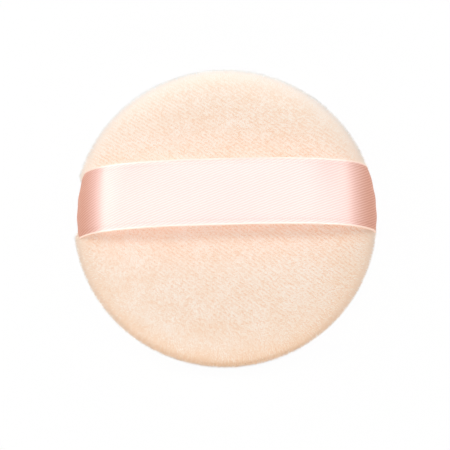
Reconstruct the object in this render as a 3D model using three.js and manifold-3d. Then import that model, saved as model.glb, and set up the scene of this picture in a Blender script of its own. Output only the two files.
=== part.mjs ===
// Powder puff: a round velour pad with a foam core and a satin ribbon as its finger strap.
// Millimetres, +Z up. The pad lies on its application face, and the ribbon runs along X.
import * as THREE from 'three';
import { mergeVertices } from 'three/addons/utils/BufferGeometryUtils.js';
import Module from 'manifold-3d';

const wasm = await Module();
wasm.setup();

// Pad, measured over the pile
const padDiameter = 72.4;
const faceCrown = 7.4; // top of the face above the seam
const seamHeight = 6.6; // seam above the table
const restFlattening = 0.5; // how much of the application crown is pressed flat by resting
const crownSquareness = 2.7; // 2 is an ellipse, more gives a flatter face and a fuller rim
const padSides = 36;
const crownSteps = 8;
const liningSteps = 5;

// Covers
const coverThickness = 2.2; // knitted back and pile
const lipRadius = 1.1; // roll of each cover into the seam crease
const lipSteps = 2;
const seamGap = 0.3; // between the two seam allowances
const seamAllowance = 4.9; // turned in from the crease
const allowanceThickness = 0.8; // pressed flat by the stitching
const foamClearance = 0.3;

// Ribbon
const ribbonWidth = 16;
const ribbonThickness = 0.4;
const ribbonOffset = 3; // centre line of the ribbon behind the middle of the pad
const fingerGap = 6; // ribbon above the crown of the face
const ribbonSquareness = 2.9; // of the arch that the ribbon makes, 2 being an ellipse
const ribbonBend = 0.8; // radius of its turn out of the seam
const ribbonTail = 4.6; // caught in the seam
const ribbonInset = 0.2; // outside of the ribbon in from the pad's widest circle
const ribbonClearance = 0.3;
const tailSteps = 2;
const bendSteps = 3;
const archSteps = 12;
const ribbonWidthSteps = 4;

// Pull of the ribbon on the rim
const rimSlack = 0.15; // spare room between the drawn-in rim and the ribbon
const drawReach = 14; // how far in from the rim the pull is felt
const drawFade = 7; // how far along the rim from the ribbon's edge
const seamFade = 6; // how far up and down from the seam its tails spread the covers

// Stitches
const threadDiameter = 0.35;
const threadClearance = 0.1;
const threadSides = 4;
const seamInset = 2.7; // rim stitches in from the crease
const tackInset = 4; // ribbon tack stitches in from the crease
const stitchLength = 5.5;
const tackLength = 12;
const tackCount = 4;
const closingLength = 28; // turning gap closed by hand
const closingCount = 6;
const closingAngle = Math.PI / 2; // turning gap at the back of the rim
const threadSpread = 0.3; // half the width of a thread's loop in its hole
const threadOffset = 0.25; // needle and bobbin thread to either side of the seam line
const hookDepth = 0.1; // how far the two threads reach past each other

// Sizes that follow
const padRadius = padDiameter / 2;
const applicationCrown = seamHeight + restFlattening;
const rimHeight = seamGap / 2 + lipRadius;
const restPress = (seamHeight - rimHeight) / (applicationCrown - rimHeight);
const creaseRadius = padRadius - lipRadius;
const allowanceRadius = creaseRadius - seamAllowance;
const allowanceTop = seamGap / 2 + allowanceThickness;
const threadRun = allowanceTop + threadClearance + threadDiameter / 2;
const foamGroove = threadRun + threadDiameter / 2 + foamClearance;
const seamRadius = creaseRadius - seamInset;
const tackRadius = creaseRadius - tackInset;
const sideDraw = ribbonInset + ribbonThickness + ribbonClearance + rimSlack;
const ribbonRadius = padRadius - ribbonInset - ribbonThickness / 2;
const ribbonCrown = faceCrown + fingerGap + ribbonThickness / 2;
const tailSpread = ribbonThickness / 2 + ribbonClearance - seamGap / 2;

const velour = { color: 0xf8dfcb, roughness: 0.95, metalness: 0 };
const satin = { color: 0xe9bfae, roughness: 0.35, metalness: 0 };
const foam = { color: 0xf3ead6, roughness: 1, metalness: 0 };
const thread = { color: 0xf6dcc8, roughness: 0.7, metalness: 0 };

function smoothstep(from, to, value) {
  const share = THREE.MathUtils.clamp((value - from) / (to - from), 0, 1);
  return share * share * (3 - 2 * share);
}

// Where the ribbon's ends pull the rim in and their tails spread the seam
function settle(point) {
  const radius = Math.hypot(point.x, point.y);
  const beside = Math.abs(point.y - ribbonOffset) - ribbonWidth / 2;
  const pull = smoothstep(drawFade, ribbonClearance, beside) * smoothstep(padRadius - drawReach,
    allowanceRadius, radius);
  const inward = radius > 0 ? 1 - (sideDraw * pull) / radius : 1;
  const side = THREE.MathUtils.clamp(point.z / (seamGap / 2), -1, 1);
  const fade = Math.max(0, 1 - Math.abs(point.z) / seamFade);
  return point.set(point.x * inward, point.y * inward, point.z + side * tailSpread * pull * fade);
}

function settleGeometry(geometry) {
  const position = geometry.attributes.position;
  const point = new THREE.Vector3();
  for (let i = 0; i < position.count; i++) {
    settle(point.fromBufferAttribute(position, i));
    position.setXYZ(i, point.x, point.y, point.z);
  }
  return geometry;
}

function closeGeometry(geometry) {
  geometry.deleteAttribute('normal');
  geometry.deleteAttribute('uv');
  return mergeVertices(geometry, 1e-4);
}

function toSolid(geometry) {
  const closed = closeGeometry(geometry);
  return new wasm.Manifold(new wasm.Mesh({
    numProp: 3,
    vertProperties: new Float32Array(closed.attributes.position.array),
    triVerts: new Uint32Array(closed.index.array),
  }));
}

function fromSolid(solid) {
  const mesh = solid.getMesh();
  const geometry = new THREE.BufferGeometry();
  geometry.setAttribute('position', new THREE.BufferAttribute(mesh.vertProperties, 3));
  geometry.setIndex(new THREE.BufferAttribute(mesh.triVerts, 1));
  geometry.computeVertexNormals();
  return geometry;
}

// Crown curve from the axis out to the rim, pressed flat at a share of its height
function crownCurve(radius, crown, pressed, steps) {
  const power = 2 / crownSquareness;
  const turns = Array.from({ length: steps }, (_, i) => (Math.PI / 2) * ((i + 1) / steps));
  const flatTurn = Math.acos(pressed ** (1 / power));
  const kept = turns.filter((turn) => turn > flatTurn);
  if (pressed < 1) kept.unshift(flatTurn);
  const curve = kept.map((turn) => new THREE.Vector2(
    radius * Math.sin(turn) ** power,
    rimHeight + (crown - rimHeight) * Math.abs(Math.cos(turn)) ** power,
  ));
  return [new THREE.Vector2(0, rimHeight + (crown - rimHeight) * pressed), ...curve];
}

// The same curve ended at a height, on the straight step that crosses it
function endCurveAt(curve, height) {
  const kept = curve.filter((p) => p.y > height);
  const last = kept[kept.length - 1];
  const next = curve[kept.length];
  return [...kept, last.clone().lerp(next, (last.y - height) / (last.y - next.y))];
}

function spin(profile, turnedOver) {
  const points = turnedOver ? profile.map((p) => new THREE.Vector2(p.x, -p.y)).reverse() : profile;
  const geometry = new THREE.LatheGeometry([...points].reverse(), padSides);
  return geometry.rotateX(Math.PI / 2);
}

// One cover: crown, roll into the crease, seam allowance, and the inside of the cover
function coverProfile(crown, pressed) {
  const profile = crownCurve(padRadius, crown, pressed, crownSteps);
  for (let i = 1; i <= lipSteps; i++) {
    const turn = (Math.PI / 2) * (i / lipSteps);
    profile.push(new THREE.Vector2(
      creaseRadius + lipRadius * Math.cos(turn),
      rimHeight - lipRadius * Math.sin(turn),
    ));
  }
  profile.push(new THREE.Vector2(allowanceRadius, seamGap / 2));
  profile.push(new THREE.Vector2(allowanceRadius, allowanceTop));
  profile.push(new THREE.Vector2(padRadius - coverThickness, allowanceTop));
  const lining = crownCurve(padRadius - coverThickness, crown - coverThickness, pressed, liningSteps);
  return [...profile, ...lining.reverse()];
}

function foamProfile() {
  const inset = coverThickness + foamClearance;
  const radius = padRadius - inset;
  const upper = endCurveAt(crownCurve(radius, faceCrown - inset, 1, liningSteps), foamGroove);
  const lower = endCurveAt(crownCurve(radius, applicationCrown - inset, restPress, liningSteps), foamGroove);
  const groove = allowanceRadius - foamClearance;
  return [
    ...upper,
    new THREE.Vector2(groove, foamGroove),
    new THREE.Vector2(groove, -foamGroove),
    ...lower.map((p) => new THREE.Vector2(p.x, -p.y)).reverse(),
  ];
}

// Centre line of the ribbon in its own plane, from one tail over the face to the other
function ribbonLine() {
  const half = [];
  const straight = ribbonTail - ribbonBend;
  for (let i = 0; i < tailSteps; i++) {
    half.push(new THREE.Vector2(ribbonRadius - ribbonTail + (straight * i) / tailSteps, 0));
  }
  for (let i = 0; i < bendSteps; i++) {
    const turn = (Math.PI / 2) * (i / bendSteps);
    half.push(new THREE.Vector2(
      ribbonRadius - ribbonBend + ribbonBend * Math.sin(turn),
      ribbonBend - ribbonBend * Math.cos(turn),
    ));
  }
  for (let i = 0; i < archSteps; i++) {
    const turn = (Math.PI / 2) * (i / archSteps);
    half.push(new THREE.Vector2(
      ribbonRadius * Math.cos(turn) ** (2 / ribbonSquareness),
      ribbonBend + (ribbonCrown - ribbonBend) * Math.sin(turn),
    ));
  }
  const otherHalf = half.map((p) => new THREE.Vector2(-p.x, p.y)).reverse();
  return [...half, new THREE.Vector2(0, ribbonCrown), ...otherHalf];
}

function ribbonGeometry() {
  const line = ribbonLine();
  const steps = line.length - 1;
  const geometry = new THREE.BoxGeometry(steps, ribbonWidth, ribbonThickness, steps, ribbonWidthSteps, 1);
  const position = geometry.attributes.position;
  for (let i = 0; i < position.count; i++) {
    const step = Math.round(steps / 2 - position.getX(i));
    const along = line[Math.min(step + 1, steps)].clone().sub(line[Math.max(step - 1, 0)]).normalize();
    const off = position.getZ(i);
    const y = ribbonOffset + position.getY(i);
    const narrowing = Math.sqrt(ribbonRadius ** 2 - y ** 2) / ribbonRadius;
    const x = (line[step].x + along.y * off) * narrowing;
    position.setXYZ(i, x, y, line[step].y - along.x * off);
  }
  return geometry;
}

// A thread as one unbroken tube through its points, with closed ends
function threadGeometry(points) {
  const vertices = [];
  const faces = [];
  points.forEach((point, i) => {
    const along = points[Math.min(i + 1, points.length - 1)].clone().sub(points[Math.max(i - 1, 0)]);
    const out = new THREE.Vector3(point.x, point.y, 0).normalize();
    const up = along.cross(out).normalize();
    for (let k = 0; k < threadSides; k++) {
      const turn = (2 * Math.PI * (k + 0.5)) / threadSides;
      const corner = point.clone().addScaledVector(out, (threadDiameter / 2) * Math.cos(turn));
      vertices.push(...corner.addScaledVector(up, (threadDiameter / 2) * Math.sin(turn)).toArray());
    }
  });
  for (let i = 0; i + 1 < points.length; i++) {
    for (let k = 0; k < threadSides; k++) {
      const a = i * threadSides + k;
      const b = i * threadSides + ((k + 1) % threadSides);
      faces.push(a, b, b + threadSides, a, b + threadSides, a + threadSides);
    }
  }
  const last = (points.length - 1) * threadSides;
  for (let k = 1; k + 1 < threadSides; k++) {
    faces.push(0, k + 1, k);
    faces.push(last, last + k, last + k + 1);
  }
  const geometry = new THREE.BufferGeometry();
  geometry.setAttribute('position', new THREE.Float32BufferAttribute(vertices, 3));
  geometry.setIndex(faces);
  geometry.computeVertexNormals();
  return geometry;
}

function rimPoint(radius, angle, height) {
  return settle(new THREE.Vector3(radius * Math.cos(angle), radius * Math.sin(angle), height));
}

function spacedAngles(from, to, count) {
  return Array.from({ length: count + 1 }, (_, i) => from + ((to - from) * i) / count);
}

// Lockstitch thread: runs on its own side of the seam and dips into each hole to hook the other thread
function lockstitch(angles, radius, side) {
  const lean = threadSpread / radius;
  const points = [];
  angles.forEach((angle) => {
    points.push(rimPoint(radius, angle - lean, side * threadRun));
    points.push(rimPoint(radius, angle - lean, -side * hookDepth));
    points.push(rimPoint(radius, angle + lean, -side * hookDepth));
    points.push(rimPoint(radius, angle + lean, side * threadRun));
  });
  return threadGeometry(points);
}

// Running stitch: passes through both seam allowances at each hole
function runningStitch(angles, radius) {
  const points = [];
  angles.forEach((angle, i) => {
    const side = i % 2 === 0 ? 1 : -1;
    points.push(rimPoint(radius, angle, side * threadRun));
    points.push(rimPoint(radius, angle, -side * threadRun));
  });
  return threadGeometry(points);
}

function holeCutter(angles, radius) {
  const along = 2 * threadSpread + threadDiameter + 4 * threadClearance;
  const across = 2 * threadOffset + threadDiameter + 4 * threadClearance;
  const height = 2 * (allowanceTop + tailSpread + foamClearance);
  const cutters = angles.map((angle) => {
    const box = new THREE.BoxGeometry(across, along, height);
    const centre = rimPoint(radius, angle, 0);
    return toSolid(box.rotateZ(angle).translate(centre.x, centre.y, 0));
  });
  return cutters.reduce((joined, cutter) => joined.add(cutter));
}

function cutHoles(geometry, cutters) {
  return fromSolid(cutters.reduce((solid, cutter) => solid.subtract(cutter), toSolid(geometry)));
}

const gapAngle = closingLength / seamRadius;
const sewnFrom = closingAngle + gapAngle / 2 + stitchLength / seamRadius / 2;
const sewnTo = closingAngle - gapAngle / 2 - stitchLength / seamRadius / 2 + 2 * Math.PI;
const rimCount = Math.round(((sewnTo - sewnFrom) * seamRadius) / stitchLength);
const rimAngles = spacedAngles(sewnFrom, sewnTo, rimCount);
const closingAngles = spacedAngles(closingAngle - gapAngle / 2, closingAngle + gapAngle / 2, closingCount);
const tackFrom = Math.asin((ribbonOffset - tackLength / 2) / tackRadius);
const tackTo = Math.asin((ribbonOffset + tackLength / 2) / tackRadius);
const rightAngles = spacedAngles(tackFrom, tackTo, tackCount);
const leftAngles = spacedAngles(Math.PI - tackTo, Math.PI - tackFrom, tackCount);

const rimHoles = holeCutter(rimAngles, seamRadius);
const closingHoles = holeCutter(closingAngles, seamRadius);
const tackHoles = holeCutter([...rightAngles, ...leftAngles], tackRadius);
const allHoles = [rimHoles, closingHoles, tackHoles];

const faceGeometry = settleGeometry(spin(coverProfile(faceCrown, 1), false));
const applicationGeometry = settleGeometry(spin(coverProfile(applicationCrown, restPress), true));

const pieces = [
  ['face_cover', cutHoles(faceGeometry, allHoles), velour],
  ['application_cover', cutHoles(applicationGeometry, allHoles), velour],
  ['foam_core', settleGeometry(spin(foamProfile(), false)), foam],
  ['ribbon_band', cutHoles(ribbonGeometry(), [rimHoles, tackHoles]), satin],
  ['rim_needle_thread', lockstitch(rimAngles, seamRadius + threadOffset, 1), thread],
  ['rim_bobbin_thread', lockstitch(rimAngles, seamRadius - threadOffset, -1), thread],
  ['ribbon_tack_left', runningStitch(leftAngles, tackRadius), thread],
  ['ribbon_tack_right', runningStitch(rightAngles, tackRadius), thread],
  ['closing_thread', runningStitch(closingAngles, seamRadius), thread],
];

const puff = new THREE.Group();
puff.position.z = seamHeight;
for (const [name, geometry, finish] of pieces) {
  const mesh = new THREE.Mesh(geometry, new THREE.MeshStandardMaterial(finish));
  mesh.name = name;
  puff.add(mesh);
}

export default puff;
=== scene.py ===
# %% [markdown]
# # A velour powder puff with a satin finger strap
#
# The real puff is a sewn pad. Two velour discs are stitched together at the rim and turned over a foam
# core, and a satin ribbon is caught in the seam at both sides, so that fingers slip under it. The packed
# CAD model holds every piece at its place. This lesson loads it as a fixed frame and dresses it: soft
# covers with real pile, a foam core and a satin ribbon.

import math

import bpy
import numpy as np
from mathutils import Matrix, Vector


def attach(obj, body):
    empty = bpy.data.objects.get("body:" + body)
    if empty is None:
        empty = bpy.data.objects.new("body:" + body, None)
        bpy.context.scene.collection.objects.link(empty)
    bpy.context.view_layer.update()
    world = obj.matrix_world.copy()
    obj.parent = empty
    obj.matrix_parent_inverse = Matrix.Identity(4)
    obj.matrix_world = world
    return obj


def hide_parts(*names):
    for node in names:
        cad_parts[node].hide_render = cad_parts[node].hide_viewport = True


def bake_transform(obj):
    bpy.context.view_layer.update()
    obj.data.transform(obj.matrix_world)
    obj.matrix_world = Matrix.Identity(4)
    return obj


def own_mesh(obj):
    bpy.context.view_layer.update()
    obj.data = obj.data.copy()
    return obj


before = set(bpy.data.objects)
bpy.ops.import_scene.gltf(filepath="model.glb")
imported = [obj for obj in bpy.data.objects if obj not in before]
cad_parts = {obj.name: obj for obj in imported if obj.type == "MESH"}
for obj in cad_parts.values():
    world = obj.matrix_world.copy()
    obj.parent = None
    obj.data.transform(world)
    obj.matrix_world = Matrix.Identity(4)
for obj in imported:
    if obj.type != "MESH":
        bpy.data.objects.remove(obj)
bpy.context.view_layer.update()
print("CAD nodes:", ", ".join(sorted(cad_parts)))

# %% [markdown]
# ## Working by hand in code
#
# An operator acts on whatever is selected, so each step starts by selecting one object and nothing else.
# Points that follow a formula, such as a crown curve, are read into an array, moved and written back.

# %% Small helpers for objects and points
MM = 0.001
SHARP_ANGLE = math.radians(50)  # edges that turn more than this look sharp


def pick(obj=None):
    """Leaves edit mode and makes obj the only selected object."""
    if bpy.context.mode != "OBJECT":
        bpy.ops.object.mode_set(mode="OBJECT")
    bpy.ops.object.select_all(action="DESELECT")
    if obj is not None:
        obj.select_set(True)
        bpy.context.view_layer.objects.active = obj


def edit(obj):
    """Opens obj in edit mode with all of it selected."""
    pick(obj)
    bpy.ops.object.mode_set(mode="EDIT")
    bpy.ops.mesh.select_all(action="SELECT")


def named(name):
    """Names the object that was just added, and its mesh."""
    obj = bpy.context.object
    obj.name = name
    obj.data.name = name
    return obj


def copy_of(obj, name):
    pick(obj)
    bpy.ops.object.duplicate()
    return named(name)


def apply_modifier(obj, kind, **settings):
    """Adds a modifier with these settings and applies it at once."""
    pick(obj)
    modifier = obj.modifiers.new(kind.title(), kind)
    for key, value in settings.items():
        setattr(modifier, key, value)
    bpy.ops.object.modifier_apply(modifier=modifier.name)


def points_of(obj):
    places = np.empty(len(obj.data.vertices) * 3)
    obj.data.vertices.foreach_get("co", places)
    return places.reshape(-1, 3)


def move_points(obj, places):
    obj.data.vertices.foreach_set("co", places.ravel())
    obj.data.update()


def smoothstep(start, end, value):
    share = np.clip((value - start) / (end - start), 0, 1)
    return share * share * (3 - 2 * share)


def triangles(obj):
    return sum(len(face.vertices) - 2 for face in obj.data.polygons)


# %% [markdown]
# ## The covers
#
# Each cover is a velour disc: a knitted back with about a millimetre of pile. It could be lathed from a
# profile, but a lathe leaves a pole of thin triangles at the crown, where cloth behaves badly. A cube
# that is subdivided and rounded into a ball has even squares everywhere, so half of such a ball is
# pressed into the crown curve of the pad. Its edge is then extruded round the lip and in along the seam
# allowance. The sizes are those of the CAD model, less the height of the pile.

# %% Sizes of the pad, in millimetres
PILE_HEIGHT = 0.8
PAD_RADIUS = 36.2
SEAM_HEIGHT = 6.6  # above the table, while the crowns are measured from the seam
FACE_CROWN = 7.4
APPLICATION_CROWN = 7.1
CROWN_SQUARENESS = 2.3  # 2 is an ellipse, and more gives a flatter face and a fuller rim
SEAM_GAP = 0.3
LIP_RADIUS = 0.5
ALLOWANCE_RADIUS = 30.2  # inner edge of the seam allowance
BACK_THICKNESS = 0.8
SUBDIVISION_SHRINK = 0.2  # what smoothing takes off the rim
CROWN_SWELL = 0.5  # what the filling adds to the crown
BACK_RADIUS = PAD_RADIUS - PILE_HEIGHT + SUBDIVISION_SHRINK
RIM_HEIGHT = SEAM_GAP / 2 + LIP_RADIUS

RIBBON_OFFSET = 3.0  # behind the middle of the pad
RIBBON_WIDTH = 16.0
RIM_DRAW = 1.05  # how far the ribbon's ends draw the rim in
DRAW_REACH = 14.0  # how far in from the rim that is felt
DRAW_FROM = 0.5  # where it starts, inside the ribbon's edge
DRAW_FULL = 2.5
TAIL_SPREAD = 0.35  # how far the ribbon's tails part each cover from the seam
SEAM_FADE = 6.0  # the height above or below the seam at which that ends

# %% A ball, and how it is pressed into the crown of the pad
BALL_CUTS = 23


def round_ball(name):
    """A ball of even squares, one metre in radius, with an edge loop round its middle."""
    pick()
    bpy.ops.mesh.primitive_cube_add(size=2)
    ball = named(name)
    edit(ball)
    bpy.ops.mesh.subdivide(number_cuts=BALL_CUTS)
    bpy.ops.transform.tosphere(value=1)
    pick(ball)
    return ball


def press_into_crown(places, radius, rim, crown, flat):
    """Where points of an upper half ball go on a crown that is cut off flat at a height, in millimetres."""
    unit = places / np.linalg.norm(places, axis=1, keepdims=True)
    turn = np.arccos(np.clip(unit[:, 2], 0, 1))
    power = 2 / CROWN_SQUARENESS
    across = radius * np.sin(turn) ** power
    height = np.minimum(rim + (crown - rim) * np.cos(turn) ** power, flat)
    heading = unit[:, :2] / np.maximum(np.hypot(*unit[:, :2].T), 1e-9)[:, None]
    return np.column_stack([heading * across[:, None], height])


LIP_STEPS = 3
ALLOWANCE_STEPS = 2
SORTED_FROM = (0.0531, 0.0297, 0.0173)  # in metres


def extrude_rim(cover):
    """Takes the open edge round the lip and in along the seam allowance."""
    lip_end = BACK_RADIUS - LIP_RADIUS
    rings = []
    for step in range(1, LIP_STEPS + 1):
        turn = math.pi / 2 * step / LIP_STEPS
        rings.append((lip_end + LIP_RADIUS * math.cos(turn), RIM_HEIGHT - LIP_RADIUS * math.sin(turn)))
    for step in range(1, ALLOWANCE_STEPS + 1):
        share = step / ALLOWANCE_STEPS
        rings.append((lip_end + (ALLOWANCE_RADIUS - lip_end) * share, SEAM_GAP / 2))
    edit(cover)
    bpy.ops.mesh.select_mode(type="EDGE")
    bpy.ops.mesh.select_all(action="DESELECT")
    bpy.ops.mesh.select_non_manifold(extend=False)
    radius, height = BACK_RADIUS, RIM_HEIGHT
    for next_radius, next_height in rings:
        step_down = (0, 0, (next_height - height) * MM)
        bpy.ops.mesh.extrude_region_move(TRANSFORM_OT_translate={"value": step_down})
        shrink = next_radius / radius
        bpy.ops.transform.resize(value=(shrink, shrink, 1), center_override=(0, 0, 0))
        radius, height = next_radius, next_height
    bpy.ops.mesh.select_mode(type="VERT")
    bpy.ops.mesh.select_all(action="SELECT")
    bpy.ops.mesh.normals_make_consistent(inside=False)

    # Extruding numbers the new points differently in each run. Sorting by distance from a lopsided place,
    # where no two distances are equal, gives them one order, on which cloth and scattered fibres depend.
    bpy.context.scene.cursor.location = SORTED_FROM
    bpy.ops.mesh.sort_elements(type="CURSOR_DISTANCE", elements={"VERT", "EDGE", "FACE"})
    bpy.context.scene.cursor.location = (0, 0, 0)
    pick(cover)


def ribbon_pull(places):
    """From 0 to 1, how much the ribbon's ends pull on points of the rim, given in millimetres."""
    radius = np.hypot(places[:, 0], places[:, 1])
    beside = np.abs(places[:, 1] - RIBBON_OFFSET) - RIBBON_WIDTH / 2
    under = smoothstep(DRAW_FROM, DRAW_FULL, -beside)
    return under * smoothstep(PAD_RADIUS - DRAW_REACH, ALLOWANCE_RADIUS, radius)


def draw_in(places):
    """Pulls the rim in under the ribbon's ends and parts the seam at their tails, in millimetres."""
    radius = np.hypot(places[:, 0], places[:, 1])
    pull = ribbon_pull(places)
    inward = 1 - RIM_DRAW * pull / np.maximum(radius, 1e-6)
    side = np.clip(places[:, 2] / (SEAM_GAP / 2), -1, 1)
    fade = np.clip(1 - np.abs(places[:, 2]) / SEAM_FADE, 0, 1)
    moved = places.copy()
    moved[:, :2] *= inward[:, None]
    moved[:, 2] += side * TAIL_SPREAD * pull * fade
    return moved


def make_cover(name, crown, flat):
    """A cover as the upper half of a pad, with no thickness yet. It is cut off flat at a height."""
    cover = round_ball(name)
    edit(cover)
    bpy.ops.mesh.bisect(plane_co=(0, 0, 0), plane_no=(0, 0, 1), clear_inner=True)
    pick(cover)
    move_points(cover, press_into_crown(points_of(cover), BACK_RADIUS, RIM_HEIGHT, crown, flat) * MM)
    extrude_rim(cover)
    bpy.ops.object.shade_smooth()
    return cover


face_crown = FACE_CROWN - PILE_HEIGHT - CROWN_SWELL
application_flat = SEAM_HEIGHT - PILE_HEIGHT
face_velour = make_cover("face_velour", face_crown, face_crown)
application_velour = make_cover("application_velour", APPLICATION_CROWN - PILE_HEIGHT, application_flat)
print("cover faces:", len(face_velour.data.polygons), len(application_velour.data.polygons))

# %% [markdown]
# ## Filling the covers by cloth simulation
#
# The foam pushes the cover out everywhere except at the seam, which holds it. A rounder formula could
# stand in for that, but cloth finds for itself how far each part gives, and Blender's cloth can be blown
# up by pressure. Its defaults suit things as large as a cushion, so the cover is simulated at ten times
# its size and shrunk again. It bends more stiffly than by default, which keeps it free of wrinkles. The
# seam allowance and the lip are pinned. A cap keeps each point near its place, the swelling fades towards
# the rim, whose outline is known, and the table keeps the application face flat.

# %% Swell each cover with pressure
CLOTH_SCALE = 10
CLOTH_FRAMES = 20
CLOTH_PRESSURE = 0.5
CLOTH_STIFFNESS = 5
PINNED_BELOW = RIM_HEIGHT - 0.1
MOST_SWELL = 0.6
SWELL_FROM = 1.0  # in from the rim
SWELL_FULL = 9.0


def resize(obj, factor):
    edit(obj)
    bpy.ops.transform.resize(value=(factor, factor, factor), center_override=(0, 0, 0))
    pick(obj)


def swell(cover, flat):
    """Blows up a cover whose points stay under a height."""
    before = points_of(cover)
    sewn = cover.vertex_groups.new(name="sewn")
    low = np.flatnonzero(before[:, 2] < PINNED_BELOW * MM)
    sewn.add(low.tolist(), 1.0, "REPLACE")
    resize(cover, CLOTH_SCALE)
    cloth = cover.modifiers.new("Filling", "CLOTH")
    cloth.settings.vertex_group_mass = "sewn"
    cloth.settings.use_pressure = True
    cloth.settings.uniform_pressure_force = CLOTH_PRESSURE
    cloth.settings.bending_stiffness = CLOTH_STIFFNESS
    cloth.settings.effector_weights.gravity = 0
    cloth.point_cache.frame_end = CLOTH_FRAMES
    for step in range(1, CLOTH_FRAMES + 1):
        bpy.context.scene.frame_set(step)
    bpy.ops.object.modifier_apply(modifier=cloth.name)
    bpy.context.scene.frame_set(1)
    resize(cover, 1 / CLOTH_SCALE)
    moved = points_of(cover) - before
    distance = np.maximum(np.linalg.norm(moved, axis=1, keepdims=True), 1e-12)
    moved *= np.minimum(1, MOST_SWELL * MM / distance)
    to_rim = BACK_RADIUS - np.hypot(before[:, 0], before[:, 1]) / MM
    moved *= smoothstep(SWELL_FROM, SWELL_FULL, to_rim)[:, None]
    after = before + moved
    after[:, 2] = np.minimum(after[:, 2], flat * MM)
    move_points(cover, after)
    print(cover.name, "swelled by up to", round(float(distance.max()) / MM, 3), "mm before the cap")


swell(face_velour, FACE_CROWN)
swell(application_velour, application_flat)

# %% [markdown]
# ## The rim under the ribbon
#
# The ribbon's sewn ends pull the rim in, and their tails part the covers a little inside the seam. The
# pull stops sharply at the ribbon's edges, more sharply than the coarse squares of the cloth can show. So
# the covers are subdivided first, and the pull moves the finer points. Up to here both covers are upper
# halves. The application cover is now turned over.

# %% Subdivide the covers, and turn the application cover over
COVER_LEVELS = 2


def finish_outside(cover, turned_over):
    apply_modifier(cover, "SUBSURF", levels=COVER_LEVELS, render_levels=COVER_LEVELS)
    move_points(cover, draw_in(points_of(cover) / MM) * MM)
    edit(cover)
    if turned_over:
        bpy.ops.transform.resize(value=(1, 1, -1), center_override=(0, 0, 0))
        bpy.ops.mesh.flip_normals()
    bpy.ops.transform.translate(value=(0, 0, SEAM_HEIGHT * MM))
    pick(cover)
    bpy.ops.object.shade_smooth()


finish_outside(face_velour, False)
finish_outside(application_velour, True)

# %% [markdown]
# ## The pile
#
# Velour is a dense lawn of short cut fibres, so its outline is soft and its surface is never quite
# smooth. A bump map can't give that outline. Hair would, but hair isn't a mesh that can be kept. So one
# thin fibre is modelled, and Geometry Nodes sets a copy on each of many scattered points. The fibres lean
# with the nap on the flat and stand straight out at the rim. The knitted back holds them in slanting
# rows, which show as lighter and darker tufts. The rim is painted lighter at the back of the puff, where
# light falls from behind, and painted with shade at the front.

# %% Nodes by a short call
def place(tree, kind, inputs=(), **settings):
    """Adds a node with these settings. Each named input gets a value, or a link to a socket."""
    node = tree.nodes.new(kind)
    for key, value in settings.items():
        setattr(node, key, value)
    for key, value in dict(inputs).items():
        if isinstance(value, bpy.types.NodeSocket):
            tree.links.new(value, node.inputs[key])
        else:
            node.inputs[key].default_value = value
    return node


def maths(tree, operation, a, b=0.0):
    return place(tree, "ShaderNodeMath", {0: a, 1: b}, operation=operation).outputs[0]


def around(tree, value, middle, spread):
    """value, which runs from 0 to 1, moved to run over middle plus or minus half of spread."""
    return maths(tree, "ADD", maths(tree, "MULTIPLY", maths(tree, "SUBTRACT", value, 0.5), spread), middle)


def vectors(tree, operation, a, b=(0, 0, 0)):
    return place(tree, "ShaderNodeVectorMath", {0: a, 1: b}, operation=operation).outputs[0]


def scaled(tree, vector, factor):
    node = place(tree, "ShaderNodeVectorMath", {0: vector, "Scale": factor}, operation="SCALE")
    return node.outputs[0]


def noise(tree, where, size):
    """Smooth noise whose lumps are about this many millimetres across."""
    lumps = {"Vector": where, "Scale": 1 / (size * MM), "Detail": 2.0}
    return place(tree, "ShaderNodeTexNoise", lumps).outputs


def dot(tree, a, b):
    return place(tree, "ShaderNodeVectorMath", {0: a, 1: b}, operation="DOT_PRODUCT").outputs["Value"]


def stripes(tree, where, way, spacing, wave="SINE"):
    """A wave from 0 to 1 that repeats along a direction every so many millimetres."""
    height = maths(tree, wave, maths(tree, "MULTIPLY", dot(tree, where, way), 2 * math.pi / (spacing * MM)))
    return maths(tree, "ADD", maths(tree, "MULTIPLY", height, 0.5), 0.5)


# %% One fibre
FIBRE_RADIUS = 0.14


def make_fibre():
    """A spike of four triangles, one millimetre high, with its root at the origin."""
    pick()
    bpy.ops.mesh.primitive_cone_add(vertices=3, radius1=FIBRE_RADIUS * MM, depth=MM, end_fill_type="NGON")
    fibre = named("fibre")
    edit(fibre)
    bpy.ops.transform.translate(value=(0, 0, MM / 2))
    pick(fibre)
    tip = fibre.data.attributes.new("tip", "FLOAT", "POINT")
    tip.data.foreach_set("value", (points_of(fibre)[:, 2] / MM).astype(np.float32))
    return fibre


fibre = make_fibre()
print("points and triangles of a fibre:", len(fibre.data.vertices), triangles(fibre))

# %% Nodes that scatter the fibres
FIBRE_SPACING = 0.23
FIBRE_LENGTH = 0.95
LENGTH_SPREAD = 0.25
LEAST_SHARE = 0.05  # of the full length, below which no fibre grows
DENSEST = 1e8  # fibres per square metre, more than their spacing lets in

# Places that end in FROM and FULL are distances from the middle of the pad.
SPLAY = 0.36
SPLAY_FROM = 24.5
SPLAY_FULL = 35.0
NAP = (0.81, -0.58, 0.0)
NAP_LEAN = 0.4
NAP_TOSS = 0.35
CLUMP_SIZE = 0.8

ROW_ACROSS = (0.58, 0.81, 0.0)
ROW_SPACING = 0.8
ROW_LEAN = 0.3
ROW_WOBBLE = 0.25
WOBBLE_SIZE = 1.6
ROW_SHARE = 0.45  # of the rows in the knit, and the rest is tufts
DASH_WIDTH = 0.8
DASH_STRETCH = 1.5
DASH_CONTRAST = 8.0
KNIT_HEIGHT = 0.4

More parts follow.
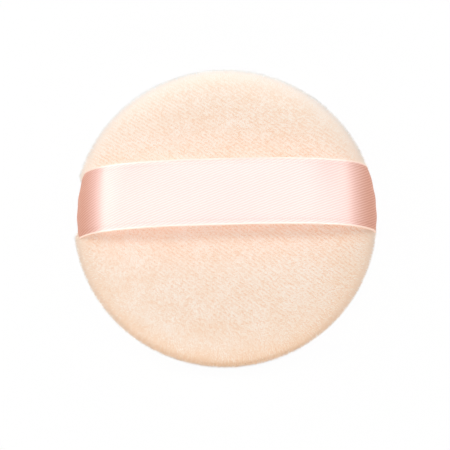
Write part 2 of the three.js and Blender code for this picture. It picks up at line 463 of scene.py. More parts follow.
KNIT_MIDDLE = 0.66
KNIT_CONTRAST = 5.2
FIBRE_CONTRAST = 0.3
RIM_TONE = 0.57
PLAIN_FROM = 31.0
PLAIN_FULL = 36.0
# The rim's painted light and shade: paler towards the back, deeper towards the front.
PAINTED_SHADE_SIDE = (0, -1, 0)
PAINTED_SHADING_FROM = 23.0
PAINTED_SHADING_FULL = 34.0
PAINTED_SHADING_TONE = 0.5
BROAD_SIZE = 6.0
BROAD_CONTRAST = 0.06


def keep(tree, geometry, name, value, kind="FLOAT"):
    """Stores a value under a name on every point of the geometry."""
    stored = {"Geometry": geometry, "Name": name, "Value": value}
    return place(tree, "GeometryNodeStoreNamedAttribute", stored, data_type=kind).outputs[0]


def kept(tree, name, kind="FLOAT"):
    return place(tree, "GeometryNodeInputNamedAttribute", {"Name": name}, data_type=kind).outputs[0]


def rise(tree, distance, start, end):
    """A smooth step from 0 to 1 over a distance, between two places in millimetres."""
    step = {"Value": distance, "From Min": start * MM, "From Max": end * MM}
    return place(tree, "ShaderNodeMapRange", step, interpolation_type="SMOOTHSTEP").outputs[0]


def pile_nodes(seed):
    """Geometry nodes that set fibres on a cover and store what they are shaded by."""
    tree = bpy.data.node_groups.new("Pile", "GeometryNodeTree")
    tree.interface.new_socket("Geometry", in_out="INPUT", socket_type="NodeSocketGeometry")
    tree.interface.new_socket("Geometry", in_out="OUTPUT", socket_type="NodeSocketGeometry")
    cover = place(tree, "NodeGroupInput").outputs[0]
    here = place(tree, "GeometryNodeInputPosition").outputs[0]

    # Fibres are scattered with a least distance between them.
    length = kept(tree, "pile")
    spots = place(
        tree,
        "GeometryNodeDistributePointsOnFaces",
        {"Mesh": cover, "Distance Min": FIBRE_SPACING * MM, "Density Max": DENSEST, "Seed": seed},
        distribute_method="POISSON",
    )
    tree.links.new(maths(tree, "GREATER_THAN", length, LEAST_SHARE), spots.inputs["Density Factor"])

    # They are shaded by the normal of the skin, which is tipped outwards near the rim.
    flattened = vectors(tree, "MULTIPLY", here, (1, 1, 0))
    radius = place(tree, "ShaderNodeVectorMath", {0: flattened}, operation="LENGTH").outputs["Value"]
    outer = rise(tree, radius, SPLAY_FROM, SPLAY_FULL)
    outwards = vectors(tree, "NORMALIZE", flattened)
    splay = scaled(tree, outwards, maths(tree, "MULTIPLY", outer, SPLAY))
    splayed = vectors(tree, "ADD", spots.outputs["Normal"], splay)
    skin = vectors(tree, "NORMALIZE", splayed)
    points = keep(tree, spots.outputs["Points"], "skin", skin, "FLOAT_VECTOR")
    lot = place(tree, "FunctionNodeRandomValue", {"Seed": seed + 2}, data_type="FLOAT").outputs[1]
    points = keep(tree, points, "chance", lot)
    chance = kept(tree, "chance")

    # The knitted back holds the fibres in slanting rows and in light tufts with thin lines between them.
    wobble = vectors(tree, "SUBTRACT", noise(tree, here, WOBBLE_SIZE)["Color"], (0.5, 0.5, 0.5))
    there = vectors(tree, "ADD", here, scaled(tree, wobble, ROW_WOBBLE * MM))
    row = stripes(tree, there, ROW_ACROSS, ROW_SPACING)
    along = maths(tree, "DIVIDE", dot(tree, there, NAP), DASH_STRETCH)
    stretched = {"X": along, "Y": dot(tree, there, ROW_ACROSS)}
    drawn_out = place(tree, "ShaderNodeCombineXYZ", stretched).outputs[0]
    lump = noise(tree, drawn_out, DASH_WIDTH)["Fac"]
    folded = maths(tree, "ABSOLUTE", maths(tree, "SUBTRACT", lump, 0.5))
    tuft = maths(tree, "MINIMUM", maths(tree, "MULTIPLY", folded, DASH_CONTRAST), 1.0)
    rows = maths(tree, "MULTIPLY", row, ROW_SHARE)
    knit = maths(tree, "ADD", rows, maths(tree, "MULTIPLY", tuft, 1 - ROW_SHARE))

    # The nap lies where the cover is level. Fibres of a row lean together, and small clumps their own way.
    lying = maths(tree, "SUBTRACT", 1.0, outer)
    uphill = around(tree, stripes(tree, there, ROW_ACROSS, ROW_SPACING, "COSINE"), 0.0, 2 * ROW_LEAN)
    lean = vectors(tree, "ADD", scaled(tree, ROW_ACROSS, uphill), tuple(NAP_LEAN * part for part in NAP))
    toss = vectors(tree, "SUBTRACT", noise(tree, here, CLUMP_SIZE)["Color"], (0.5, 0.5, 0.5))
    upright = vectors(tree, "ADD", spots.outputs["Normal"], scaled(tree, lean, lying))
    upright = vectors(tree, "ADD", upright, scaled(tree, toss, NAP_TOSS))
    spun = {"Max": (0, 0, 2 * math.pi), "Seed": seed + 1}
    spin = place(tree, "FunctionNodeRandomValue", spun, data_type="FLOAT_VECTOR").outputs[0]
    turned = place(
        tree, "FunctionNodeAlignRotationToVector", {"Rotation": spin, "Vector": upright}, axis="Z"
    ).outputs[0]
    tall = maths(tree, "MULTIPLY", around(tree, chance, FIBRE_LENGTH, LENGTH_SPREAD), length)
    unevenness = maths(tree, "MULTIPLY", lying, KNIT_HEIGHT)
    tall = maths(tree, "MULTIPLY", tall, around(tree, knit, 1.0, unevenness))
    stretch = place(tree, "ShaderNodeCombineXYZ", {"X": 1.0, "Y": 1.0, "Z": tall}).outputs[0]
    one = place(tree, "GeometryNodeObjectInfo", {"Object": fibre}).outputs["Geometry"]
    planted = place(
        tree,
        "GeometryNodeInstanceOnPoints",
        {"Points": points, "Instance": one, "Rotation": turned, "Scale": stretch},
    ).outputs[0]
    loose = place(tree, "GeometryNodeRealizeInstances", {"Geometry": planted}).outputs[0]

    # Every point of a fibre takes its tone from the knit at its own place, and only the last of the rim is
    # plain. Near the rim, painted light makes the back of the puff paler and painted shade makes the front
    # deeper.
    mottled = around(tree, knit, KNIT_MIDDLE, KNIT_CONTRAST)
    mottled = maths(tree, "ADD", mottled, around(tree, chance, 0.0, FIBRE_CONTRAST))
    mottled = place(tree, "ShaderNodeClamp", {"Value": mottled}).outputs[0]
    plain = rise(tree, radius, PLAIN_FROM, PLAIN_FULL)
    tone = place(tree, "ShaderNodeMix", {"Factor": plain, "A": mottled, "B": RIM_TONE}).outputs["Result"]
    near_rim = rise(tree, radius, PAINTED_SHADING_FROM, PAINTED_SHADING_FULL)
    painted_shading = maths(tree, "MULTIPLY", dot(tree, outwards, PAINTED_SHADE_SIDE), near_rim)
    tone = maths(tree, "SUBTRACT", tone, maths(tree, "MULTIPLY", painted_shading, PAINTED_SHADING_TONE))
    broad = around(tree, noise(tree, here, BROAD_SIZE)["Fac"], 0.0, BROAD_CONTRAST)
    tone = place(tree, "ShaderNodeClamp", {"Value": maths(tree, "ADD", tone, broad)}).outputs[0]
    place(tree, "NodeGroupOutput", {0: keep(tree, loose, "tone", tone)})
    return tree


# %% Grow the pile on both covers
PRESSED_PILE = 0.35  # of the full length, under the ribbon's ends
NO_PILE_FACING = -1.0  # a cover faces 1 away from the pad and -1 into the seam, where no pile grows
FULL_PILE_FACING = -0.7
SOFT_SHARE = 0.85
SOFT_ABOVE = (-0.3, 0.5)  # how far the skin faces up where this share starts, and where it is full
SOFT_BELOW = (0.4, 0.95)  # the same for facing down
MAP_MARGIN = 0.05
MAP_SPREAD = 0.004
MAP_RAISE = 0.02
TABLE_GAP = 0.02


def grow_pile(cover, name, side, seed):
    """Fibres on a cover, shorter in the seam and under the ribbon's ends. side is 1 above the seam."""
    pile = copy_of(cover, name)
    normals = np.empty(len(pile.data.vertices) * 3)
    pile.data.vertices.foreach_get("normal", normals)
    facing = normals.reshape(-1, 3)[:, 2] * side
    pressed = ribbon_pull(points_of(pile) / MM)
    share = smoothstep(NO_PILE_FACING, FULL_PILE_FACING, facing) * (1 - (1 - PRESSED_PILE) * pressed)
    length = pile.data.attributes.new("pile", "FLOAT", "POINT")
    length.data.foreach_set("value", share.astype(np.float32))
    apply_modifier(pile, "NODES", node_group=pile_nodes(seed))
    return pile


def read_attribute(obj, name, width=1):
    values = np.empty(len(obj.data.vertices) * width, np.float32)
    obj.data.attributes[name].data.foreach_get("value" if width == 1 else "vector", values)
    return values.reshape(-1, width) if width > 1 else values


def soften(pile):
    """Shades fibres mostly as the skin under them on the flat, and more by their own sides at the rim."""
    own = np.empty(len(pile.data.vertices) * 3)
    pile.data.vertices.foreach_get("normal", own)
    skin = read_attribute(pile, "skin", 3)
    level = skin[:, 2:]  # 1 where the skin faces up, 0 where it faces sideways
    share = SOFT_SHARE * np.maximum(smoothstep(*SOFT_ABOVE, level), smoothstep(*SOFT_BELOW, -level))
    mixed = share * skin + (1 - share) * own.reshape(-1, 3)
    mixed /= np.linalg.norm(mixed, axis=1, keepdims=True)
    pick(pile)
    bpy.ops.object.shade_smooth()
    pile.data.normals_split_custom_set_from_vertices(mixed.tolist())


def map_by_tone(pile):
    """A bake map that sets a fibre at its tone and height, because its colour depends on nothing else.

    The points of a fibre lie a little apart on it, so that no triangle of the map is empty.
    """
    points = len(pile.data.vertices)
    beside = np.array((-1, 0, 1, 0))[np.arange(points) % 4]
    room = 1 - 2 * MAP_MARGIN
    across = MAP_MARGIN + room * read_attribute(pile, "tone") + MAP_SPREAD * beside
    up = MAP_MARGIN + room * read_attribute(pile, "tip") + MAP_RAISE * (beside == 1)
    corners = np.empty(len(pile.data.loops), int)
    pile.data.loops.foreach_get("vertex_index", corners)
    bake_map = pile.data.uv_layers.new(name="OFBake")
    bake_map.data.foreach_set("uv", np.column_stack([across, up])[corners].ravel())


piles = {}
for name, cover, side, seed in (
    ("face_pile", face_velour, 1, 11),
    ("application_pile", application_velour, -1, 37),
):
    pile = grow_pile(cover, name, side, seed)
    places = points_of(pile)
    places[:, 2] = np.maximum(places[:, 2], TABLE_GAP * MM)
    move_points(pile, places)
    soften(pile)
    map_by_tone(pile)
    piles[name] = pile
    print(name, "triangles:", triangles(pile))
bpy.data.objects.remove(fibre)

# %% [markdown]
# ## The back of the velour
#
# Under the pile is the knitted back. Until now each cover is a skin with no thickness. Solidify gives it
# one, inwards, so that the pile still stands on the outside, and closes it along the edge of the seam
# allowance.

# %% Give the covers their thickness
for cover in (face_velour, application_velour):
    apply_modifier(cover, "SOLIDIFY", thickness=BACK_THICKNESS * MM, offset=-1, use_even_offset=False)
    print(cover.name, "triangles:", triangles(cover))

# %% [markdown]
# ## The foam core
#
# The core is a die-cut disc of soft foam that fills the covers, and the seam allowances lie in a groove
# round its middle. Both halves of a ball are pressed into crowns that are smaller than those of the
# covers. The ball is first cut by planes at the groove's two edges, and the band between the cuts is
# scaled in.

# %% Press and groove the foam
FOAM_RADIUS = 33.6
FOAM_CROWN = 4.8
FOAM_BASE_CROWN = 4.5
FOAM_BASE = 4.0
FOAM_RIM = 1.9
GROOVE_RADIUS = 29.8
GROOVE_HALF = 1.8


def make_foam():
    foam = round_ball("foam_pad")
    ball = points_of(foam)
    upper = press_into_crown(ball, FOAM_RADIUS, FOAM_RIM, FOAM_CROWN, FOAM_CROWN)
    turned = ball * (1, 1, -1)
    lower = press_into_crown(turned, FOAM_RADIUS, FOAM_RIM, FOAM_BASE_CROWN, FOAM_BASE) * (1, 1, -1)
    middle = np.abs(ball[:, 2]) < 1e-6
    places = np.where(ball[:, 2:] > 0, upper, lower)
    places[middle, 2] = 0
    move_points(foam, places * MM)
    edit(foam)
    for level in (GROOVE_HALF, -GROOVE_HALF):
        bpy.ops.mesh.select_all(action="SELECT")
        bpy.ops.mesh.bisect(plane_co=(0, 0, level * MM), plane_no=(0, 0, 1))
    pick(foam)
    places = points_of(foam) / MM
    sunk = np.abs(places[:, 2]) < GROOVE_HALF - 0.01
    places[sunk, :2] *= GROOVE_RADIUS / np.hypot(*places[sunk, :2].T)[:, None]
    places = draw_in(places)
    places[:, 2] += SEAM_HEIGHT
    move_points(foam, places * MM)
    bpy.ops.object.shade_smooth_by_angle(angle=SHARP_ANGLE)
    return foam


foam_pad = make_foam()
print("foam triangles:", triangles(foam_pad))

# %% [markdown]
# ## The ribbon
#
# The strap is a 16 mm satin ribbon. It rises out of the seam, arches over the face and goes back into the
# seam on the other side. A flat strip of cloth keeps its shape along straight lines, so it is laid
# directly: a grid whose rows follow the centre line of the arch. It is made as two halves that meet at
# the crown. Its woven edges are thicker than the rest. At the ends, where the seam holds it tight, they
# roll down into the pile and the ribbon puckers a little. There the satin is rougher, and painted shade
# darkens it.

# %% Sizes of the ribbon, in millimetres
RIBBON_THICKNESS = 0.3
EDGE_WIDTH = 0.4
EDGE_FLAT = 0.6  # share of that width that has the full thickness
EDGE_CROWDING = 1.35  # above 1, the grid is finer towards the ribbon's edges
FIELD_SHARE = 0.7  # of the thickness, between the edges
RIGHT_RADIUS = 36.1
LEFT_RADIUS = 35.2
RIBBON_CROWN = 13.6
RIBBON_SQUARENESS = 2.9
RIBBON_BEND = 0.8
RIBBON_TAIL = 4.6
ARCH_STEPS = 400
BEND_STEPS = 12
RIBBON_ROWS = 90
RIBBON_COLUMNS = 32
ROLL_WIDTH = 1.6
ROLL_DROP = 0.7
ROLL_FROM = 29.0
PUCKER = 0.05
PUCKER_SPACING = 4.6
RIGHT_ROUGH_SHADED_END = 8.5  # length of the end that is rough and painted with shade
LEFT_ROUGH_SHADED_END = 7.5
FULL_ROUGH_SHADED_END = 1.0


def ribbon_line(radius):
    """Distances along half the ribbon from its crown, and x and z there, in millimetres from the seam."""
    turn = np.linspace(math.pi / 2, 0, ARCH_STEPS)
    arch_x = radius * np.abs(np.cos(turn)) ** (2 / RIBBON_SQUARENESS)
    arch_x[0] = 0
    arch_z = RIBBON_BEND + (RIBBON_CROWN - RIBBON_BEND) * np.sin(turn)
    bend = np.linspace(0, math.pi / 2, BEND_STEPS)[1:]
    bend_x = radius - RIBBON_BEND * (1 - np.cos(bend))
    bend_z = RIBBON_BEND * (1 - np.sin(bend))
    x = np.concatenate([arch_x, bend_x, [radius - RIBBON_TAIL]])
    z = np.concatenate([arch_z, bend_z, [0]])
    along = np.concatenate([[0], np.cumsum(np.hypot(np.diff(x), np.diff(z)))])
    return along, x, z


# %% Lay each half of the ribbon
def lay_ribbon(name, side, radius, shaded_length):
    """Half a ribbon whose end is rough and painted with shade, and its length. side is 1 for the half on
    +X, or -1.
    """
    line_along, line_x, line_z = ribbon_line(radius)
    half_length = float(line_along[-1])
    pick()
    bpy.ops.mesh.primitive_grid_add(x_subdivisions=RIBBON_ROWS, y_subdivisions=RIBBON_COLUMNS, size=2)
    ribbon = named(name)
    grid = points_of(ribbon)
    along = (grid[:, 0] + 1) / 2 * half_length
    spread = np.sign(grid[:, 1]) * (1 - (1 - np.abs(grid[:, 1])) ** EDGE_CROWDING)
    across = spread * RIBBON_WIDTH / 2
    y = RIBBON_OFFSET + across
    narrowing = np.sqrt(radius**2 - y**2) / radius
    x = np.interp(along, line_along, line_x) * narrowing * side
    z = np.interp(along, line_along, line_z)
    from_edge = RIBBON_WIDTH / 2 - np.abs(across)
    tight = smoothstep(ROLL_FROM, radius, np.abs(x))
    roll = smoothstep(0, ROLL_WIDTH, ROLL_WIDTH - from_edge) * tight
    z -= ROLL_DROP * roll * smoothstep(0, 3 * RIBBON_BEND, z)
    pucker = np.sin(2 * math.pi * across / PUCKER_SPACING + side) * tight
    x += side * PUCKER * pucker
    move_points(ribbon, np.stack([x, y, z + SEAM_HEIGHT], 1) * MM)
    weave = ribbon.data.uv_layers.active or ribbon.data.uv_layers.new(name="weave")
    weave.name = "weave"
    corners = np.empty(len(ribbon.data.loops), int)
    ribbon.data.loops.foreach_get("vertex_index", corners)
    flat = np.stack([along * side, across], 1)[corners] * MM
    weave.data.foreach_set("uv", flat.ravel())
    # This share makes the ribbon's end rougher and darkens it with painted shade.
    rough_shaded_end = ribbon.data.attributes.new("rough_shaded_end", "FLOAT", "POINT")
    rough_shaded_share = smoothstep(radius - shaded_length, radius - FULL_ROUGH_SHADED_END, np.abs(x))
    rough_shaded_end.data.foreach_set("value", rough_shaded_share.astype(np.float32))
    if side < 0:
        edit(ribbon)
        bpy.ops.mesh.flip_normals()
        pick(ribbon)
    edge = ribbon.vertex_groups.new(name="edge")
    woven = 1 - smoothstep(EDGE_FLAT * EDGE_WIDTH, EDGE_WIDTH, from_edge)
    for index, share in enumerate(FIELD_SHARE + (1 - FIELD_SHARE) * woven):
        edge.add([index], float(share), "REPLACE")
    thick = RIBBON_THICKNESS * MM
    apply_modifier(ribbon, "SOLIDIFY", thickness=thick, offset=0, use_even_offset=True, vertex_group="edge")
    bpy.ops.object.shade_smooth_by_angle(angle=SHARP_ANGLE)
    print(name, "length with its tail:", round(half_length, 2), "mm, triangles:", triangles(ribbon))
    return ribbon, half_length


half_lengths = {}
ribbon_right, half_lengths[1] = lay_ribbon("ribbon_right", 1, RIGHT_RADIUS, RIGHT_ROUGH_SHADED_END)
ribbon_left, half_lengths[-1] = lay_ribbon("ribbon_left", -1, LEFT_RADIUS, LEFT_ROUGH_SHADED_END)

# %% [markdown]
# ## Finishes
#
# Every finish is made of nodes. The peach velour, the foam and the thread share one effect, an uneven
# tint at two scales, so that is a node group with its own inputs. What is the same all over a surface is
# set on the shader itself.

# %% A shared uneven tint
def uneven_tint_group():
    """Mixes two colours by broad and fine noise. Sizes are in metres."""
    tree = bpy.data.node_groups.new("Uneven tint", "ShaderNodeTree")
    new = tree.interface.new_socket
    new("Light", in_out="INPUT", socket_type="NodeSocketColor")
    new("Dark", in_out="INPUT", socket_type="NodeSocketColor")
    new("Broad size", in_out="INPUT", socket_type="NodeSocketFloat")
    new("Fine size", in_out="INPUT", socket_type="NodeSocketFloat")
    new("Strength", in_out="INPUT", socket_type="NodeSocketFloat")
    new("Colour", in_out="OUTPUT", socket_type="NodeSocketColor")
    new("Height", in_out="OUTPUT", socket_type="NodeSocketFloat")
    given = place(tree, "NodeGroupInput").outputs
    where = place(tree, "ShaderNodeTexCoord").outputs["Object"]
    noises = []
    for size in ("Broad size", "Fine size"):
        scale = maths(tree, "DIVIDE", 1.0, given[size])
        lumps = place(tree, "ShaderNodeTexNoise", {"Vector": where, "Scale": scale, "Detail": 3.0})
        noises.append(lumps.outputs["Fac"])
    both = maths(tree, "MULTIPLY", maths(tree, "ADD", *noises), 0.5)
    share = place(tree, "ShaderNodeClamp", {"Value": around(tree, both, 0.5, given["Strength"])}).outputs[0]
    colour = place(
        tree, "ShaderNodeMix", {"Factor": share, "A": given["Dark"], "B": given["Light"]}, data_type="RGBA"
    )
    place(tree, "NodeGroupOutput", {"Colour": colour.outputs["Result"], "Height": noises[1]})
    return tree


uneven_tint = uneven_tint_group()


def new_finish(name):
    """An empty material with its shader, which is returned with its node tree."""
    material = bpy.data.materials.new(name)
    material.use_nodes = True
    tree = material.node_tree
    tree.nodes.clear()
    shader = place(tree, "ShaderNodeBsdfPrincipled")
    place(tree, "ShaderNodeOutputMaterial", {"Surface": shader.outputs[0]})
    return material, tree, shader


def uneven(tree, light, dark, broad, fine, strength):
    """Places the shared tint with its own colours, and its sizes in millimetres."""
    values = {"Light": (*light, 1), "Dark": (*dark, 1), "Strength": strength}
    values |= {"Broad size": broad * MM, "Fine size": fine * MM}
    return place(tree, "ShaderNodeGroup", values, node_tree=uneven_tint).outputs


def mixed_colour(tree, share, first, second):
    """A mix of two colours, each given as three numbers or as a socket."""
    ends = {"Factor": share}
    for key, colour in (("A", first), ("B", second)):
        ends[key] = (*colour, 1) if isinstance(colour, tuple) else colour
    return place(tree, "ShaderNodeMix", ends, data_type="RGBA").outputs["Result"]


# %% Velour
VELOUR_LIGHT = (0.95, 0.895, 0.83)
VELOUR_DARK = (0.81, 0.47, 0.245)
VELOUR_DEPTH_SHADE = (0.89, 0.66, 0.49)
SHADED_ROOT_HEIGHT = 0.7  # share of a fibre over which the painted shade at its root fades
FOOT_SHARE = 0.2  # of a fibre's own colour at its foot, where the rest is painted shade


def thin_cloth(tree, shader, share, tint):
    """Lets a share of the light through, as thin cloth does. Only shadows read it."""
    shadow = place(tree, "ShaderNodeLightPath").outputs["Is Shadow Ray"]
    clear = place(tree, "ShaderNodeBsdfTransparent", {"Color": (*tint, 1)}).outputs[0]
    through = maths(tree, "MULTIPLY", shadow, share)
    mixed = place(tree, "ShaderNodeMixShader", {0: through, 1: shader.outputs[0], 2: clear}).outputs[0]
    tree.links.new(mixed, tree.nodes["Material Output"].inputs["Surface"])


def soft_nap(shader):
    """The soft light rim of velour, seen along its surface."""
    shader.inputs["Roughness"].default_value = 0.95
    shader.inputs["Specular IOR Level"].default_value = 0.15
    shader.inputs["Sheen Weight"].default_value = 1.0
    shader.inputs["Sheen Roughness"].default_value = 0.4
    shader.inputs["Sheen Tint"].default_value = (1.0, 0.98, 0.96, 1)


def velour_back_finish():
    material, tree, shader = new_finish("velour back")
    # The back shows only deep between the fibres, so its uneven tint runs to the painted shade of their
    # roots.
    tint = uneven(tree, VELOUR_LIGHT, VELOUR_DEPTH_SHADE, 5.0, 0.6, 2.0)
    tree.links.new(tint["Colour"], shader.inputs["Base Color"])
    soft_nap(shader)
    return material


def velour_pile_finish():
    material, tree, shader = new_finish("velour pile")
    tone = place(tree, "ShaderNodeAttribute", attribute_name="tone").outputs["Fac"]
    tip = place(tree, "ShaderNodeAttribute", attribute_name="tip").outputs["Fac"]
    # Fibres are painted darker towards their roots, as shade deep in the pile.
    root_fade = {"Value": tip, "From Max": SHADED_ROOT_HEIGHT, "To Min": FOOT_SHARE}
    unshaded = place(tree, "ShaderNodeMapRange", root_fade).outputs[0]
    colour = mixed_colour(tree, tone, VELOUR_DARK, VELOUR_LIGHT)
    colour = mixed_colour(tree, unshaded, VELOUR_DEPTH_SHADE, colour)
    tree.links.new(colour, shader.inputs["Base Color"])
    soft_nap(shader)
    return material


velour_back = velour_back_finish()
velour_pile = velour_pile_finish()

# %% Satin
SATIN_ROSE = (0.79, 0.47, 0.41)
SATIN_LINE = (0.63, 0.28, 0.215)
SATIN_EDGE = (0.93, 0.70, 0.60)
SATIN_PAINTED_SHADE = (0.73, 0.58, 0.44)
SATIN_IOR = 2.4
SATIN_ROUGHNESS = 0.3
EDGE_ROUGHNESS = 0.4
END_ROUGHNESS = 0.8
SATIN_LETS_THROUGH = 0.78
SATIN_GLOW = (0.96, 0.92, 0.90)
TWILL_ANGLE = 20
TWILL_SPACING = 0.58
TWILL_WOBBLE = 0.22
TWILL_WOBBLE_SIZE = 0.7
TWILL_DEPTH = 0.8  # of its lines, which reach full depth at the rough, shaded ends
TWILL_BUMP = 0.18
TWILL_HEIGHT = 0.03
STITCH_INSIDE = 1.25
STITCH_WIDTH = 0.3
STITCH_SPACING = 0.6
STITCH_DEPTH = 0.6
EDGE_FADE = 0.15
EDGE_PAINTED_SHADE = 0.3  # of the painted shade at the ends, on the woven edges
CREASE_POWER = 0.7  # below 1, the shine goes sooner than the painted shade comes


def satin_finish():
    material, tree, shader = new_finish("satin")
    weave = place(tree, "ShaderNodeUVMap", uv_map="weave").outputs[0]
    across = maths(tree, "ABSOLUTE", place(tree, "ShaderNodeSeparateXYZ", {0: weave}).outputs["Y"])
    slant = math.radians(TWILL_ANGLE)
    wobble = vectors(tree, "SUBTRACT", noise(tree, weave, TWILL_WOBBLE_SIZE)["Color"], (0.5, 0.5, 0.5))
    threads = vectors(tree, "ADD", weave, scaled(tree, wobble, TWILL_WOBBLE * MM))
    twill = stripes(tree, threads, (-math.sin(slant), math.cos(slant), 0), TWILL_SPACING)
    rough_shaded_end = place(tree, "ShaderNodeAttribute", attribute_name="rough_shaded_end").outputs["Fac"]
    deepened = {"Value": rough_shaded_end, "To Min": TWILL_DEPTH, "To Max": 1.0}
    depth = place(tree, "ShaderNodeMapRange", deepened).outputs[0]
    lined = maths(tree, "MULTIPLY", maths(tree, "SUBTRACT", 1.0, twill), depth)
    colour = mixed_colour(tree, lined, SATIN_ROSE, SATIN_LINE)

    # A line of small holes runs just inside each woven edge.
    stitched = (RIBBON_WIDTH / 2 - STITCH_INSIDE) * MM
    beside = maths(tree, "ABSOLUTE", maths(tree, "SUBTRACT", across, stitched))
    line = maths(tree, "LESS_THAN", beside, STITCH_WIDTH / 2 * MM)
    dots = maths(tree, "MULTIPLY", line, stripes(tree, weave, (1, 0, 0), STITCH_SPACING))
    colour = mixed_colour(tree, maths(tree, "MULTIPLY", dots, STITCH_DEPTH), colour, SATIN_LINE)

    inner = (RIBBON_WIDTH / 2 - EDGE_WIDTH) * MM
    edge = place(
        tree, "ShaderNodeMapRange", {"Value": across, "From Min": inner, "From Max": inner + EDGE_FADE * MM}
    ).outputs[0]
    colour = mixed_colour(tree, edge, colour, SATIN_EDGE)

    # The ends are painted with shade and have less shine. The woven edges get less of the painted shade.
    spared = {"Value": edge, "To Min": 1.0, "To Max": EDGE_PAINTED_SHADE}
    firm = place(tree, "ShaderNodeMapRange", spared).outputs[0]
    painted_end_shade = maths(tree, "MULTIPLY", rough_shaded_end, firm)
    shaded = {"Factor": painted_end_shade, "A": colour, "B": (*SATIN_PAINTED_SHADE, 1)}
    shaded_end_colour = place(tree, "ShaderNodeMix", shaded, data_type="RGBA", blend_type="MULTIPLY")
    tree.links.new(shaded_end_colour.outputs["Result"], shader.inputs["Base Color"])
    rough = place(
        tree, "ShaderNodeMapRange", {"Value": edge, "To Min": SATIN_ROUGHNESS, "To Max": EDGE_ROUGHNESS}
    ).outputs[0]
    creased = maths(tree, "POWER", rough_shaded_end, CREASE_POWER)
    rough = place(tree, "ShaderNodeMix", {"Factor": creased, "A": rough, "B": END_ROUGHNESS})
    tree.links.new(rough.outputs["Result"], shader.inputs["Roughness"])
    height = {"Height": twill, "Strength": TWILL_BUMP, "Distance": TWILL_HEIGHT * MM}
    bump = place(tree, "ShaderNodeBump", height).outputs[0]
    tree.links.new(bump, shader.inputs["Normal"])
    shader.inputs["IOR"].default_value = SATIN_IOR
    thin_cloth(tree, shader, SATIN_LETS_THROUGH, SATIN_GLOW)
    return material


satin = satin_finish()


# %% Foam and thread
def foam_finish():
    material, tree, shader = new_finish("foam")
    tint = uneven(tree, (0.93, 0.86, 0.72), (0.82, 0.71, 0.55), 3.0, 0.5, 3.0)
    tree.links.new(tint["Colour"], shader.inputs["Base Color"])
    bump = place(tree, "ShaderNodeBump", {"Height": tint["Height"], "Strength": 0.6, "Distance": 0.2 * MM})
    tree.links.new(bump.outputs[0], shader.inputs["Normal"])
    shader.inputs["Roughness"].default_value = 1.0
    return material


def thread_finish():
    material, tree, shader = new_finish("thread")
    tint = uneven(tree, (0.95, 0.78, 0.65), (0.86, 0.64, 0.5), 2.0, 0.2, 2.0)
    tree.links.new(tint["Colour"], shader.inputs["Base Color"])
    shader.inputs["Roughness"].default_value = 0.6
    shader.inputs["Sheen Weight"].default_value = 0.2
    return material


foam = foam_finish()
thread = thread_finish()


def wear(obj, material):
    obj.data.materials.clear()
    obj.data.materials.append(material)


for cover in (face_velour, application_velour):
    wear(cover, velour_back)

# The modelled fibres are fewer and thicker than real ones and would darken each other, so they cast no
# shadow and bounce no light. The shadow offset would start a fibre's shadow test inside the velour's back,
# so it is off.
for pile in piles.values():
    wear(pile, velour_pile)
    pile.visible_shadow = False
    pile.visible_diffuse = False
    pile.shadow_terminator_geometry_offset = 0.0
for half in (ribbon_left, ribbon_right):
    wear(half, satin)
wear(foam_pad, foam)
THREAD_NODES = ("rim_needle_thread", "rim_bobbin_thread", "ribbon_tack_left", "ribbon_tack_right")
for name in (*THREAD_NODES, "closing_thread"):
    wear(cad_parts[name], thread)

# %% [markdown]
# ## The pieces and their body
#
# The covers, the pile and the foam are tied to the pad's body, and the face cover, its pile and the foam
# get meshes of their own. The ribbon's halves stay where they are laid. The CAD pieces that these stand
# for are hidden.

# %% Tie the pieces to the pad's body
SEAM_POINT = (0, 0, SEAM_HEIGHT * MM)

for piece in (face_velour, application_velour, foam_pad, *piles.values()):
    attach(piece, "pad")
for piece in (face_velour, foam_pad, piles["face_pile"]):
    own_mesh(piece)
for piece, side in ((ribbon_right, 1), (ribbon_left, -1)):
    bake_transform(piece)
    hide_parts("ribbon_band")
for piece, node in ((face_velour, "face_cover"), (application_velour, "application_cover")):
    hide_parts(node)
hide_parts("foam_core")

# %% [markdown]
# ## Floor, camera and light
#
# The photograph shows the puff from nearly straight above on plain white. A bright floor or sky would
# also light the puff too much, so both shine white only for the camera and in reflections, and the floor
# keeps a faint shadow.

# %% Floor
def seen_directly(tree):
    """1 for rays that see this straight, mirrored or through glass, and 0 for scattered light."""
    path = place(tree, "ShaderNodeLightPath").outputs
    seen = maths(tree, "MAXIMUM", path["Is Camera Ray"], path["Is Glossy Ray"])
    return maths(tree, "MAXIMUM", seen, path["Is Transmission Ray"])


FLOOR_WHITE = 0.96  # the rest shows the shadow


def make_floor():
    pick()
    bpy.ops.mesh.primitive_circle_add(vertices=64, radius=3, fill_type="NGON")
    floor = named("floor")
    material = bpy.data.materials.new("white floor")
    material.use_nodes = True
    tree = material.node_tree
    tree.nodes.clear()
    share = maths(tree, "MULTIPLY", seen_directly(tree), FLOOR_WHITE)
    plain = place(tree, "ShaderNodeBsdfDiffuse", {"Color": (0.95, 0.95, 0.95, 1)}).outputs[0]
    white = place(tree, "ShaderNodeEmission", {"Color": (1, 1, 1, 1), "Strength": 1.0}).outputs[0]
    mixed = place(tree, "ShaderNodeMixShader", {0: share, 1: plain, 2: white}).outputs[0]
    place(tree, "ShaderNodeOutputMaterial", {"Surface": mixed})
    wear(floor, material)


make_floor()

# %% Camera
PHOTO_PIXELS = 450
PIXELS_PER_MM = 4.18
CAMERA_DISTANCE = 500
CAMERA_HEIGHT_ANGLE = 77.6
CAMERA_TURN = -1.44
SENSOR = 36.0
LOOK_LOWER = 2.0


def direction(turn, rise):
    """From the pad towards a place that is turned from the near side and raised by these degrees."""
    turn, rise = math.radians(turn), math.radians(rise)
    return Vector((math.sin(turn) * math.cos(rise), -math.cos(turn) * math.cos(rise), math.sin(rise)))


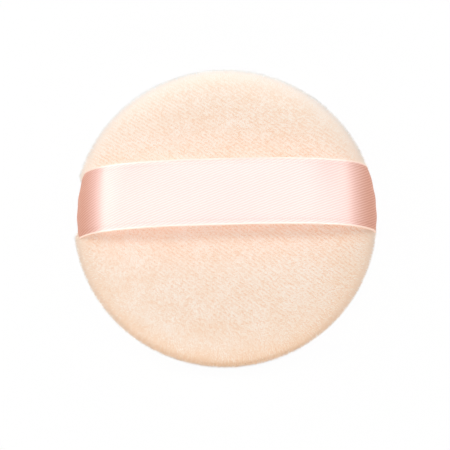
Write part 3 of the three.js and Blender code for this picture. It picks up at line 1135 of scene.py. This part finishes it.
def aim(obj, target):
    way = target - obj.location
    obj.rotation_euler = way.to_track_quat("-Z", "Y").to_euler()


def make_camera():
    data = bpy.data.cameras.new("camera")
    camera = bpy.data.objects.new("camera", data)
    bpy.context.scene.collection.objects.link(camera)
    data.sensor_width = SENSOR
    data.lens = SENSOR * CAMERA_DISTANCE * PIXELS_PER_MM / PHOTO_PIXELS
    data.clip_start = 0.01
    way = direction(CAMERA_TURN, CAMERA_HEIGHT_ANGLE)
    image_up = direction(CAMERA_TURN, CAMERA_HEIGHT_ANGLE + 90)
    target = Vector(SEAM_POINT) - image_up * LOOK_LOWER * MM
    camera.location = target + way * CAMERA_DISTANCE * MM
    aim(camera, target)
    bpy.context.scene.camera = camera
    print("lens:", round(data.lens, 1), "mm")


make_camera()

# %% [markdown]
# ## The lamps
#
# Satin looks like what it mirrors, so its lamps are set by reflection: the one overhead is where the
# camera sees it in the flat of the ribbon, and two at the sides light its shoulders. A wide dim sky fills
# in. The pile needs light along its surface as well, from behind and in front. Satin would mirror these
# two low lamps in low views, so reflections leave them out.

# %% Light
def soft_lamp(name, spot, target, wide, deep, radiance, mirrored=True):
    """A rectangular lamp in metres, aimed at a target. radiance is how bright it looks, white being 1."""
    data = bpy.data.lights.new(name, "AREA")
    data.shape = "RECTANGLE"
    data.size = wide
    data.size_y = deep
    data.energy = radiance * math.pi * wide * deep
    # Rays that meet a lamp by chance would be stopped by the fibres, so lamps are sampled directly.
    data.cycles.use_multiple_importance_sampling = False
    lamp = bpy.data.objects.new(name, data)
    bpy.context.scene.collection.objects.link(lamp)
    lamp.location = spot
    lamp.visible_glossy = mirrored
    aim(lamp, Vector(target))


WORLD_LIGHT = 0.06
soft_lamp("sky", (0, -0.3, 2.2), SEAM_POINT, 5.0, 5.0, 0.14)
soft_lamp("overhead", (0.02, 0.24, 0.9), (0.02, 0.24, 0), 1.7, 0.26, 3.9)
soft_lamp("left", (-0.85, 0.28, 0.5), SEAM_POINT, 0.65, 0.6, 3.0)
soft_lamp("right", (0.88, 0.25, 0.45), SEAM_POINT, 0.5, 0.6, 2.6)
soft_lamp("behind", (-0.05, 0.9, 0.16), SEAM_POINT, 2.4, 0.25, 4.4, mirrored=False)
soft_lamp("front", (0, -0.89, 0.21), SEAM_POINT, 2.8, 0.4, 3.7, mirrored=False)
world = bpy.data.worlds.new("studio")
world.use_nodes = True
background = world.node_tree.nodes["Background"]
background.inputs["Color"].default_value = (1, 1, 1, 1)
strength = {"Value": seen_directly(world.node_tree), "To Min": WORLD_LIGHT, "To Max": 1.0}
strength = place(world.node_tree, "ShaderNodeMapRange", strength).outputs[0]
world.node_tree.links.new(strength, background.inputs["Strength"])
bpy.context.scene.world = world
bpy.context.scene.view_settings.view_transform = "Standard"
